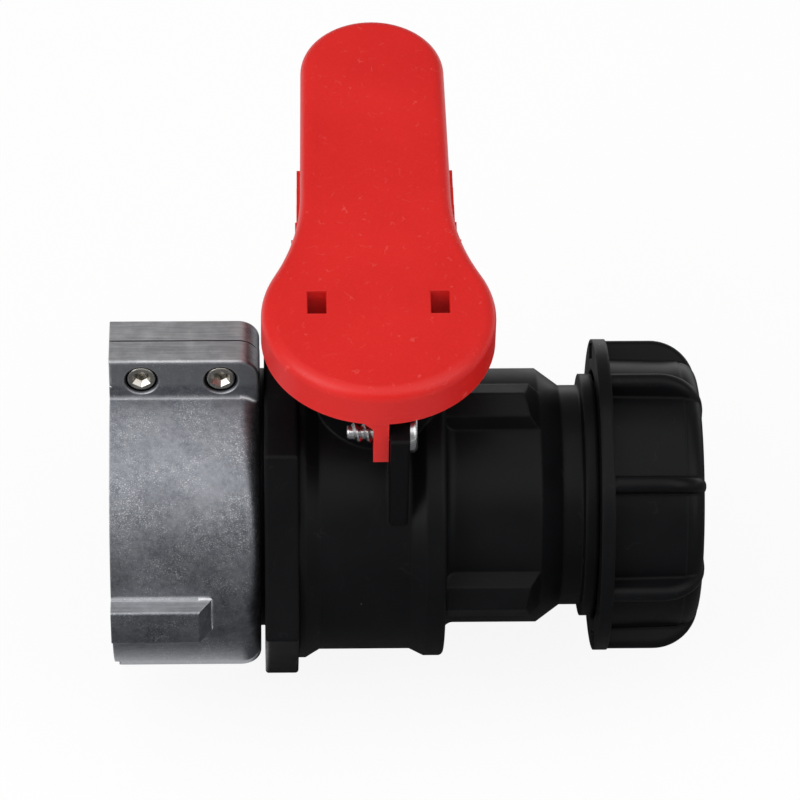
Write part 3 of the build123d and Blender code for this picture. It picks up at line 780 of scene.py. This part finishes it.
# painted sheen on the clamp lugs' front faces
cast_tone = blend_colours(tree, front_sheen, cast_tone, FRONT_SHEEN)
ground_tone = blend_colours(tree, brushed, GROUND_DARK, GROUND_LIGHT)
tone = blend_colours(tree, ground, cast_tone, ground_tone)
tone = blend_colours(tree, both(tree, scratches, 0.4), tone, SCRATCH)
# painted highlight at the lugs' roots, with edge wear and a painted edge highlight
tone = blend_colours(tree, root_highlight_and_edge_wear, tone, WEAR_AND_HIGHLIGHT_WHITE)
# painted shade inside the screw holes
tone = blend_colours(tree, both(tree, hole_shade_mask, 0.92), tone, HOLE_SHADE)
tree.links.new(tone, shader.inputs["Base Color"])
uneven = between(tree, sparkle, -0.06, 0.06, 0.3, 0.7)
gloss = both(tree, between(tree, shade, 0.42, 0.54), uneven, "ADD")
tree.links.new(gloss, shader.inputs["Roughness"])
# where the root highlight is painted, the surface is mostly not metal
tree.links.new(between(tree, root_highlight, 1.0, 0.2), shader.inputs["Metallic"])
skin = relief(tree, sparkle, 0.05, 0.6)
skin = relief(tree, mottle, 0.08, 0.35, onto=skin)
skin = relief(tree, both(tree, brushing, ground), 0.03, 0.5, onto=skin)
tree.links.new(skin, shader.inputs["Normal"])
print("cast aluminium:", len(tree.nodes), "nodes")

# %% [markdown]
# ** Red plastic.** The lever is moulded polypropylene. It is nearly even in
# colour, with a fine satin grain. Handling leaves short pale scuffs, and the
# edges are painted a little paler, as a painted highlight.

# %% Red plastic
lever_red, tree, shader, place = start_finish("red_plastic")
shader.inputs["Specular IOR Level"].default_value = 0.35
RED_DARK, RED_LIGHT, RED_GRAIN = (0.63, 0.009, 0.007), (0.7, 0.012, 0.009), (0.8, 0.03, 0.024)
RED_SCUFF, RED_EDGE_HIGHLIGHT = (0.85, 0.16, 0.13), (0.85, 0.09, 0.075)
clouds = noise(tree, place, grain=30, detail=3)
grain = noise(tree, place, grain=0.4, detail=3)
scuffs = nicks(tree, place, 5, 0.01)
red = blend_colours(tree, between(tree, clouds, 0.0, 1.0, 0.3, 0.7), RED_DARK, RED_LIGHT)
red = blend_colours(tree, between(tree, grain, 0.0, 0.25, 0.4, 0.75), red, RED_GRAIN)
red = blend_colours(tree, both(tree, scuffs, 0.3), red, RED_SCUFF)
# painted highlight: the edges are painted a little paler
red = blend_colours(tree, both(tree, edges(tree, 0.7), 0.2), red, RED_EDGE_HIGHLIGHT)
tree.links.new(red, shader.inputs["Base Color"])
gloss = both(tree, between(tree, clouds, 0.36, 0.46, 0.3, 0.7), both(tree, scuffs, 0.15), "ADD")
tree.links.new(gloss, shader.inputs["Roughness"])
tree.links.new(relief(tree, grain, 0.025, 0.4), shader.inputs["Normal"])
print("red plastic:", len(tree.nodes), "nodes")


# %% [markdown]
# ** Black plastic.** Body, gland, outlet and cap are black polypropylene. Black
# shows its gloss more than its colour, so the finish is mostly roughness: a
# satin face with softer and sharper patches, a fine grain, short nicks, and a
# few specks of dust. Moulded edges are never sharp, so the grain lies on a
# normal that is rounded over about a millimetre, and each edge catches a line
# of light. The edges are also painted a little lighter, as a painted highlight.
# The cap is a little glossier than the body, so the finish is written once as a
# function with the gloss as its value.


# %% Black plastic
BLACK_DARK, BLACK_LIGHT = (0.0025, 0.0026, 0.003), (0.0058, 0.006, 0.0068)
NICK, SPECK, BLACK_EDGE_HIGHLIGHT = (0.1, 0.1, 0.1), (0.4, 0.4, 0.38), (0.03, 0.031, 0.033)


def black_finish(name, low, high):
    material, tree, shader, place = start_finish(name)
    shader.inputs["Specular IOR Level"].default_value = 0.11
    clouds = noise(tree, place, grain=18, detail=4)
    grain = noise(tree, place, grain=0.45, detail=2)
    marks = nicks(tree, place, 9, 0.006)
    dust = add(tree, "ShaderNodeTexVoronoi")
    dust.inputs["Scale"].default_value = 1 / (8 * MM)
    tree.links.new(place.outputs["Object"], dust.inputs["Vector"])
    specks = between(tree, dust.outputs["Distance"], 1.0, 0.0, 0.012, 0.026)
    colour = blend_colours(tree, clouds, BLACK_DARK, BLACK_LIGHT)
    colour = blend_colours(tree, both(tree, marks, 0.06), colour, NICK)
    colour = blend_colours(tree, both(tree, specks, 0.5), colour, SPECK)
    # painted highlight: the edges are painted a little lighter
    colour = blend_colours(tree, both(tree, edges(tree, 0.5), 0.3), colour, BLACK_EDGE_HIGHLIGHT)
    tree.links.new(colour, shader.inputs["Base Color"])
    gloss = both(tree, between(tree, clouds, low, high, 0.3, 0.7), both(tree, marks, 0.1), "ADD")
    tree.links.new(gloss, shader.inputs["Roughness"])
    skin = relief(tree, grain, 0.02, 0.3, onto=softened(tree, 1.1))
    tree.links.new(skin, shader.inputs["Normal"])
    return material


body_black = black_finish("black_plastic", 0.32, 0.46)
cap_black = black_finish("cap_plastic", 0.28, 0.4)
print("black plastic for body and cap")


# %% [markdown]
# ** Screw steels.** The clamp screws are stainless and a little warm in tone,
# the safety screw is zinc plated and cooler. Both are turned bright, with a
# fine uneven polish. The sockets and the grooves between the threads are
# painted dark, as painted shade: the reach of the corner mask says how far.


# %% Screw steels
CREVICE_SHADE = (0.03, 0.028, 0.025)


def steel_finish(name, dark, light, low, high, shade_reach):
    material, tree, shader, place = start_finish(name)
    shader.inputs["Metallic"].default_value = 1.0
    patches = noise(tree, place, grain=2.2, detail=4)
    polish = noise(tree, place, grain=0.3, detail=2)
    tone = blend_colours(tree, patches, dark, light)
    # painted shade: sockets and thread grooves are darkened by the corner mask
    tone = blend_colours(tree, both(tree, corners(tree, shade_reach), 0.85), tone, CREVICE_SHADE)
    tree.links.new(tone, shader.inputs["Base Color"])
    tree.links.new(between(tree, patches, low, high, 0.3, 0.7), shader.inputs["Roughness"])
    tree.links.new(relief(tree, polish, 0.01, 0.3), shader.inputs["Normal"])
    return material


clamp_steel = steel_finish(
    "clamp_steel", dark=(0.36, 0.342, 0.31), light=(0.68, 0.65, 0.59), low=0.18, high=0.34, shade_reach=1.4
)
screw_steel = steel_finish(
    "screw_steel", dark=(0.55, 0.55, 0.56), light=(0.75, 0.75, 0.76), low=0.2, high=0.34, shade_reach=1.8
)
print("two steels")


# %% [markdown]
# **Inner pieces.** Seals are black rubber, the ball's seats are a white waxy
# plastic and the ball an ivory one. They show only through the pipe's ends
# and when the valve is taken apart, but each gets its own soft mottling.


# %% Rubber, seats and ball
def soft_finish(name, dark, light, low, high):
    material, tree, shader, place = start_finish(name)
    mottling = noise(tree, place, grain=6, detail=4)
    grain = noise(tree, place, grain=0.5, detail=2)
    tree.links.new(blend_colours(tree, mottling, dark, light), shader.inputs["Base Color"])
    tree.links.new(between(tree, mottling, low, high, 0.3, 0.7), shader.inputs["Roughness"])
    tree.links.new(relief(tree, grain, 0.02, 0.3), shader.inputs["Normal"])
    return material


seal_rubber = soft_finish(
    "seal_rubber", dark=(0.012, 0.012, 0.012), light=(0.03, 0.03, 0.03), low=0.55, high=0.75
)
seat_plastic = soft_finish(
    "seat_plastic", dark=(0.74, 0.74, 0.72), light=(0.84, 0.84, 0.82), low=0.3, high=0.45
)
ball_plastic = soft_finish(
    "ball_plastic", dark=(0.62, 0.6, 0.54), light=(0.74, 0.72, 0.66), low=0.22, high=0.36
)
print("inner finishes ready")

# %% [markdown]
# The record that came with the frame names a finish for each CAD node. Its
# slots are matched here with the finishes above, for the nodes and for the
# new pieces alike. A CAD node keeps its mesh and only gets another material.


# %% Give every piece its finish
def dress(mesh, finish):
    mesh.materials.clear()
    mesh.materials.append(finish)


finishes = {
    "cast_aluminium": casting,
    "clamp_steel": clamp_steel,
    "screw_steel": screw_steel,
    "black_plastic": body_black,
    "cap_plastic": cap_black,
    "red_plastic": lever_red,
    "seal_rubber": seal_rubber,
    "seat_plastic": seat_plastic,
    "ball_plastic": ball_plastic,
}
for subpart in frame["record"]["subparts"]:
    dress(frame["nodes"][subpart["node"]].data, finishes[subpart["material_slot"]])
new_pieces = {
    tank_thread: casting,
    outlet_thread: body_black,
    cap_thread: cap_black,
    clamp_set: clamp_steel,
    safety_screw: screw_steel,
}
for piece, finish in new_pieces.items():
    dress(piece.data, finish)
print(len(finishes), "finishes on", len(frame["nodes"]) + len(new_pieces), "pieces")

# %% [markdown]
# ## Last look
#
# The dressed model's box is measured beside the CAD box, so that the two can
# be compared.

# %% Sizes and finish
boxes = {"cad": cad_box, "visual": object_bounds()}
boxes = {name: [list(corner) for corner in box] for name, box in boxes.items()}
